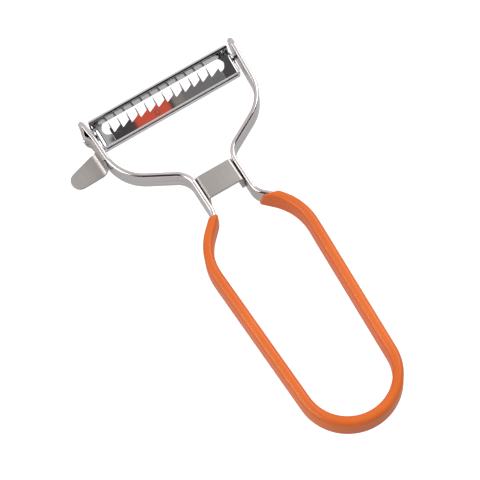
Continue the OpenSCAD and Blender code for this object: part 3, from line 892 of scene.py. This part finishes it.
def on_strip(x, up, out):
    """A point in the tooth strip's own plane, lying on the floor inside the guard lip."""
    return floor_point(x, up + STRIP_LOW, out + STRIP_SEAT)


def build_saw_plate():
    tip_h, flat, rim = VALLEY_H + SAW_H, 0.3, 0.04
    first, stub_h = tip_x(0), tip_h + STUB_RISE
    left, right = first - STUB_W, tip_x(TIP_COUNT - 1) + 0.5
    pts = [(left, stub_h - flat), (left + flat, stub_h), (first - flat, stub_h), (first, tip_h),
           (first, VALLEY_H)]
    for i in range(1, TIP_COUNT):
        x = tip_x(i)
        pts += [(x - PITCH + flat, VALLEY_H), (x, tip_h), (x, VALLEY_H)]
    pts += [(right, VALLEY_H), (right, 0), (left, 0)]
    bm = blank([pts], TOOTH_T, rim)
    for v in bm.verts:
        v.co = on_strip(v.co.x, v.co.y, v.co.z + TOOTH_T / 2)
    return finished("saw_plate", outward(bm), TOOTH_STEEL, FLAT_DEG)


def fin_blade():
    """One fin at x = 0: folded back from a tooth's steep side, drawn to a point beyond its tip."""
    tip_h, rim, taper = VALLEY_H + SAW_H, 0.04, 0.3
    outline = [(VALLEY_H + 0.1, 0.36), (VALLEY_H + 0.1, 0.0), (VALLEY_H + 0.4, -0.8),
               (tip_h - 0.3, -1.8), (tip_h + 0.5, -1.75), (tip_h + FIN_REACH, -0.02),
               (tip_h + FIN_REACH, 0.04), (tip_h, 0.38)]
    bm = blank([outline], TOOTH_T + FIN_EXTRA_T, rim)
    for v in bm.verts:
        up, out, h = v.co
        share = 1 - taper * clamped((up - tip_h) / FIN_REACH)
        v.co = on_strip(-TOOTH_T / 2 + h * share, up, out)
    return finished("fin_blade", outward(bm), TOOTH_STEEL, FLAT_DEG)


def weld_ring():
    """A spot weld's mark: a shallow dent with a raised rim, facing along Z, at the origin."""
    bm = bmesh.new()
    profile = ((1.08, -0.012), (0.96, 0.016), (0.86, 0.016), (0.72, -0.014))
    rings = [[bm.verts.new((x, y, z)) for x, y in circle(0, 0, r, 28)] for r, z in profile]
    skin(bm, rings)
    bm.faces.new(rings[-1])
    bm.faces.new(list(reversed(rings[0])))
    return finished("weld_ring", outward(bm), TOOTH_STEEL, MARK_DEG)


def geometry_tree(name, inputs):
    """A tree with named inputs, its two ends, and the identifiers of its inputs by name."""
    tree = bpy.data.node_groups.new(name, "GeometryNodeTree")
    new_socket = tree.interface.new_socket
    new_socket("Geometry", in_out="INPUT", socket_type="NodeSocketGeometry")
    ids = {label: new_socket(label, in_out="INPUT", socket_type="NodeSocket" + kind).identifier
           for label, kind in inputs}
    new_socket("Geometry", in_out="OUTPUT", socket_type="NodeSocketGeometry")
    return tree, tree.nodes.new("NodeGroupInput"), tree.nodes.new("NodeGroupOutput"), ids


def set_out(tree, start, end, label, points):
    """Puts the labelled object on the points, as real mesh with its finish; the placing node."""
    source, place, real, finish = [tree.nodes.new("GeometryNode" + kind) for kind in (
        "ObjectInfo", "InstanceOnPoints", "RealizeInstances", "SetMaterial")]
    link = tree.links.new
    link(start.outputs[label], source.inputs["Object"])
    link(points, place.inputs["Points"])
    link(source.outputs["Geometry"], place.inputs["Instance"])
    link(place.outputs["Instances"], real.inputs["Geometry"])
    link(real.outputs["Geometry"], finish.inputs["Geometry"])
    link(start.outputs["Finish"], finish.inputs["Material"])
    link(finish.outputs["Geometry"], end.inputs["Geometry"])
    return place


def fin_row_tree():
    """Repeats a fin along X at the teeth's spacing."""
    tree, start, end, ids = geometry_tree(
        "Row of fins", [("Fin", "Object"), ("Count", "Int"), ("Spacing", "Float"),
                        ("First", "Float"), ("Finish", "Material")])
    row = tree.nodes.new("GeometryNodeMeshLine")
    first, step = [tree.nodes.new("ShaderNodeCombineXYZ") for _ in range(2)]
    link = tree.links.new
    link(start.outputs["Count"], row.inputs["Count"])
    link(start.outputs["First"], first.inputs["X"])
    link(first.outputs[0], row.inputs["Start Location"])
    link(start.outputs["Spacing"], step.inputs["X"])
    link(step.outputs[0], row.inputs["Offset"])
    set_out(tree, start, end, "Fin", row.outputs["Mesh"])
    return tree, ids


def marks_on_points_tree():
    """Sets a weld mark on each point of the input, turned square to the floor's slope."""
    tree, start, end, ids = geometry_tree(
        "Weld marks", [("Mark", "Object"), ("Slope", "Float"), ("Size", "Float"),
                       ("Finish", "Material")])
    tilt, size = [tree.nodes.new("ShaderNodeCombineXYZ") for _ in range(2)]
    place = set_out(tree, start, end, "Mark", start.outputs["Geometry"])
    link = tree.links.new
    link(start.outputs["Slope"], tilt.inputs["X"])
    for axis in "XYZ":
        link(start.outputs["Size"], size.inputs[axis])
    link(tilt.outputs[0], place.inputs["Rotation"])
    link(size.outputs[0], place.inputs["Scale"])
    return tree, ids


def grown(name, points, tree, ids, values):
    """An object made by a geometry tree from a mesh of points, turned into a plain mesh."""
    mesh = bpy.data.meshes.new(name)
    mesh.from_pydata([tuple(p) for p in points], [], [])
    obj = new_object(name, mesh)
    mod = obj.modifiers.new("Grow", "NODES")
    mod.node_group = tree
    for label, value in values.items():
        mod[ids[label]] = value
    apply_modifiers(obj)
    obj.data.set_sharp_from_angle(angle=math.radians(GROWN_DEG))
    return obj


def build_fins():
    fin = fin_blade()
    fins = grown("upright_fins", [(0, 0, 0)], *fin_row_tree(),
                 {"Fin": fin, "Count": TIP_COUNT - 1, "Spacing": PITCH * MM,
                  "First": tip_x(0) * MM, "Finish": TOOTH_STEEL})
    bpy.data.objects.remove(fin)
    return fins


def build_weld_marks():
    mark = weld_ring()
    points = [on_strip(x, VALLEY_H - WELD_DROP, TOOTH_T) * MM for x in WELD_XS]
    marks = grown("weld_marks", points, *marks_on_points_tree(),
                  {"Mark": mark, "Slope": FLOOR_SLOPE, "Size": 1.0, "Finish": TOOTH_STEEL})
    bpy.data.objects.remove(mark)
    return marks


# --- Studio ---

# The photograph's camera, solved from the frame's outline: turns about X, Y and Z, the shift after
# them and the point before them in millimetres, and the focal length in the photograph's pixels
VIEW_TURNS = (-0.376812962275813, -0.05489376476702692, 0.5406493698829548)
VIEW_SHIFT, VIEW_POINT = (-9.582196877454999, 5.331800360956432, 800.0), (0, 67.8, 5.5)
FOCAL_PX, PHOTO_PX, SENSOR = 2353.0723006362573, 480, 36.0


def build_camera():
    about_x, about_y, about_z = [Matrix.Rotation(a, 3, axis) for a, axis in zip(VIEW_TURNS, "XYZ")]
    back = (about_x @ about_y @ about_z).transposed()
    at = back @ Vector(VIEW_SHIFT) + Vector(VIEW_POINT)
    data = bpy.data.cameras.new("photo_camera")
    data.sensor_width, data.lens = SENSOR, FOCAL_PX * SENSOR / PHOTO_PX
    data.clip_start, data.clip_end = 0.05, 20
    obj = new_object("photo_camera", data)
    obj.matrix_world = Matrix.Translation(at * MM) @ back.to_4x4()
    bpy.context.scene.camera = obj


def soft_light(name, at, aim, size, power, colour=(1, 1, 1)):
    data = bpy.data.lights.new(name, "AREA")
    data.shape, data.size, data.size_y = "RECTANGLE", size[0], size[1]
    data.energy, data.color = power, colour
    obj = new_object(name, data)
    way = Vector(aim) - Vector(at)
    obj.matrix_world = Matrix.Translation(at) @ way.to_track_quat("-Z", "Y").to_matrix().to_4x4()
    return obj


def build_floor():
    """A pale floor, lit up where the camera sees it and, less, where steel mirrors it."""
    half, middle_y, drop = 1500, 70, 0.05
    seen_glow, mirrored_glow, least_glow = 0.9, 0.48, 0.10
    bm = bmesh.new()
    bmesh.ops.create_grid(bm, x_segments=1, y_segments=1, size=half)
    bmesh.ops.translate(bm, verts=bm.verts, vec=(0, middle_y, -drop))
    mat, tree, shader, where = new_material("pale_floor")
    clouds = place_group(tree, MARKS, where, Size=3.0)
    colour = mixed_colour(tree, clouds.outputs["Mask"], (0.34, 0.34, 0.34), (0.36, 0.36, 0.36))
    link = tree.links.new
    link(colour, shader.inputs["Base Color"])
    set_inputs(shader, {"Roughness": 0.9, "Emission Strength": 1.0})
    ray = add_node(tree, "ShaderNodeLightPath")
    mirrored = add_node(tree, "ShaderNodeMath", {1: mirrored_glow, 2: least_glow},
                        operation="MULTIPLY_ADD")
    seen = add_node(tree, "ShaderNodeMath", {1: seen_glow}, operation="MULTIPLY_ADD")
    link(ray.outputs["Is Glossy Ray"], mirrored.inputs[0])
    link(ray.outputs["Is Camera Ray"], seen.inputs[0])
    link(mirrored.outputs["Value"], seen.inputs[2])
    link(seen.outputs["Value"], shader.inputs["Emission Color"])
    mat.cycles.emission_sampling = "NONE"
    floor = finished("studio_floor", bm, mat)


def build_world():
    """A pale studio beyond the blade, dark on the handle's side where the camera stands, and even
    to matt surfaces."""
    dark, dim, pale = (0.015, 0.014, 0.014, 1), (0.16, 0.152, 0.152, 1), (1.0, 0.98, 0.96, 1)
    world = bpy.data.worlds.new("studio")
    bpy.context.scene.world = world
    world.use_nodes = True
    tree = world.node_tree
    shade = tree.nodes["Background"]
    where = add_node(tree, "ShaderNodeTexCoord").outputs["Generated"]
    toward = add_node(tree, "ShaderNodeVectorMath", {1: ALONG_Y}, operation="DOT_PRODUCT")
    link = tree.links.new
    link(where, toward.inputs[0])
    halved = add_node(tree, "ShaderNodeMath", {1: 0.5, 2: 0.5}, operation="MULTIPLY_ADD")
    link(toward.outputs["Value"], halved.inputs[0])
    ramp = add_node(tree, "ShaderNodeValToRGB")
    stops = ramp.color_ramp.elements
    stops[0].position, stops[0].color = 0.30, dark
    stops[1].position, stops[1].color = 0.65, pale
    stops.new(0.48).color = dim
    link(halved.outputs["Value"], ramp.inputs["Fac"])
    matt = add_node(tree, "ShaderNodeMix", {7: (0.46, 0.455, 0.45, 1)}, data_type="RGBA")
    ray = add_node(tree, "ShaderNodeLightPath")
    link(ray.outputs["Is Diffuse Ray"], matt.inputs[0])
    link(ramp.outputs["Color"], matt.inputs[6])
    link(matt.outputs[2], shade.inputs["Color"])
    set_inputs(shade, {"Strength": 1.0})


def shine_only_on(light, pieces):
    lit = bpy.data.collections.new(light.name + "_reach")
    for piece in pieces:
        lit.objects.link(piece)
    light.light_linking.receiver_collection = lit


def mirrored_card(name, middle, width, glow, colour, pieces):
    """A small card hung over the blade, which the pieces mirror round the middle, given along X."""
    way, height = Vector((0.148, -0.168, 0.974)), 30
    seen_at = on_strip(middle, VALLEY_H / 2, TOOTH_T)
    at = (seen_at + height * way) * MM
    size = (1.04 * width * MM, 0.012)
    power = glow * math.pi * size[0] * size[1]
    card = soft_light(name, at, seen_at * MM, size, power, colour)
    z = way.normalized()
    x = (Vector(ALONG_X) - z * z.x).normalized()
    card.matrix_world = Matrix.Translation(at) @ Matrix((x, z.cross(x), z)).transposed().to_4x4()
    card.visible_camera = False
    shine_only_on(card, pieces)


def build_lights(grip, steel_pieces, saw, marks, cradle):
    """Two soft boxes, a low panel for the steel, one for the grip's gloss, and the cards."""
    soft_light("left_softbox", (-1.0, 0.1, 0.9), (0, 0.08, 0), (0.8, 0.8), 8)
    soft_light("right_softbox", (1.0, 0.3, 0.9), (0, 0.08, 0), (0.9, 0.9), 10)
    low_panel = soft_light("low_left_panel", (-1.1, 0.35, 0.22), (0, 0.1, 0.02), (1.2, 0.34), 4)
    shine_only_on(low_panel, steel_pieces)
    grip_gleam = soft_light("grip_gleam", (-1.1, 0.25, 0.35), (0, 0.05, 0.01), (1.2, 0.4), 9)
    grip_gleam.visible_diffuse = False
    shine_only_on(grip_gleam, (grip,))
    mirrored_card("orange_card", -6.6, 13.4, 0.95, (1.0, 0.070, 0.0), (saw,))
    mirrored_card("pale_card", 4.2, 4.2, 0.30, (1.0, 0.90, 0.82), (saw, marks))
    mirrored_card("grey_card", 15.2, 16.5, 0.20, (0.97, 0.96, 1.0), (saw, marks))
    mirrored_card("end_card", -26.0, 6.0, 0.55, (0.97, 0.97, 1.0), (cradle,))


# --- The dressed part ---

def dress():
    strip = build_frame_strip()
    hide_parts("frame_strip")
    grip = build_grip()
    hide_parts("grip_coating")
    bridge = build_bridge()
    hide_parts("neck_bridge")
    eye = build_eye_remover()
    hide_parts("eye_remover")
    for piece in (strip, grip, bridge, eye):
        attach(piece, "frame")
    cradle = build_cradle()
    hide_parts("blade_cradle")
    saw = build_saw_plate()
    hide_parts("tooth_strip")
    fins = build_fins()
    marks = build_weld_marks()
    for piece in (fins, marks):
        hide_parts("tooth_strip")
    for piece in (cradle, saw, fins, marks):
        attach(piece, "blade")
    return grip, (strip, bridge, eye, cradle, saw, fins, marks), saw, marks, cradle


build_camera()
build_floor()
build_world()
build_lights(*dress())
bpy.context.scene.view_settings.view_transform = "Standard"
